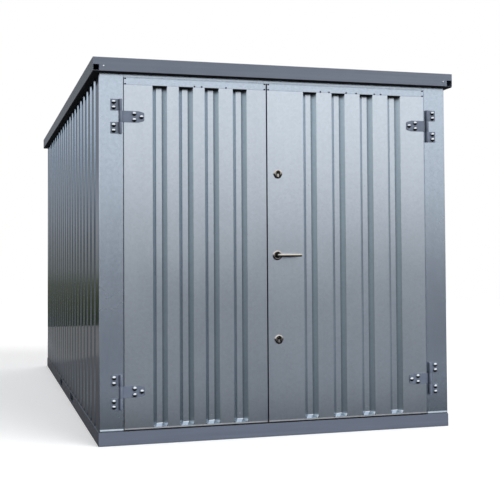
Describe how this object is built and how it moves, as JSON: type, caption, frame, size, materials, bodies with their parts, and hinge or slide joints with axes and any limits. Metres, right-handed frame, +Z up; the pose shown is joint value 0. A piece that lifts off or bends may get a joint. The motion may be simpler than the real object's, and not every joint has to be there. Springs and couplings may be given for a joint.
{
  "type": "portable site cabin",
  "caption": "Flat-packed galvanised steel site store with ribbed walls, a grey base with forklift pockets, a roof fascia and outward-opening double doors with strap hinges and a lever handle.",
  "frame": {"origin": "on the ground at the centre of the body's footprint, under the middle floor bearer", "axes": "+Z up, the doors face -Y, +X to the right of someone who faces the doors"},
  "size_m": [2.174, 4.0485, 2.134],
  "materials": {
    "galvanised_sheet": "hot-dip galvanised sheet, fine spangle, satin",
    "grey_paint": "satin slate grey paint",
    "hinge_steel": "zinc-plated, dull blue-grey",
    "floor_timber": "phenolic-faced plywood, matt",
    "black_foam": "matt closed-cell foam",
    "handle_steel": "brushed stainless"
  },
  "bodies": {
    "cabin": {"floor_bearers": "galvanised_sheet", "front_left_post": "galvanised_sheet", "front_right_post": "galvanised_sheet", "rear_left_post": "galvanised_sheet", "rear_right_post": "galvanised_sheet", "top_rail_front": "galvanised_sheet", "top_rail_rear": "galvanised_sheet", "top_rail_left": "galvanised_sheet", "top_rail_right": "galvanised_sheet", "door_lintel": "galvanised_sheet", "roof_bearers": "galvanised_sheet", "roof_sheet_left": "galvanised_sheet", "roof_sheet_right": "galvanised_sheet", "left_wall_sheet_1": "galvanised_sheet", "left_wall_sheet_2": "galvanised_sheet", "right_wall_sheet_1": "galvanised_sheet", "right_wall_sheet_2": "galvanised_sheet", "rear_wall_sheet": "galvanised_sheet", "base_rail_front": "grey_paint", "base_rail_rear": "grey_paint", "base_rail_left": "grey_paint", "base_rail_right": "grey_paint", "fork_pocket_front": "grey_paint", "fork_pocket_rear": "grey_paint", "fascia_front": "grey_paint", "fascia_rear": "grey_paint", "fascia_left": "grey_paint", "fascia_right": "grey_paint", "floor_deck": "floor_timber", "hinge_leaves": "hinge_steel"},
    "left_door": {"left_door_sheet": "galvanised_sheet", "left_door_head_cap": "galvanised_sheet", "left_door_sill_bar": "galvanised_sheet", "left_door_stiles": "galvanised_sheet", "left_door_rib_fillers": "black_foam", "left_hinge_straps": "hinge_steel"},
    "right_door": {"right_door_sheet": "galvanised_sheet", "right_door_head_cap": "galvanised_sheet", "right_door_sill_bar": "galvanised_sheet", "right_door_stiles": "galvanised_sheet", "right_door_rib_fillers": "black_foam", "right_hinge_straps": "hinge_steel", "handle_roses": "handle_steel", "lock_cylinders": "handle_steel"},
    "lever": {"lever_handle": "handle_steel"}
  },
  "joints": [
    {"name": "left_door_hinge", "type": "hinge", "parent": "cabin", "child": "left_door", "pos_m": [-0.931, -1.9845, 0.292], "axis": [0, 0, -1], "range_deg": [0, 180]},
    {"name": "right_door_hinge", "type": "hinge", "parent": "cabin", "child": "right_door", "pos_m": [0.931, -1.9845, 0.292], "axis": [0, 0, 1], "range_deg": [0, 180]},
    {"name": "lever_turn", "type": "hinge", "parent": "right_door", "child": "lever", "pos_m": [-0.024, -1.975, 1.038], "axis": [0, 1, 0], "range_deg": [0, 45], "stiffness_Nm_per_rad": 1.5, "springref_deg": -57.3}
  ]
}
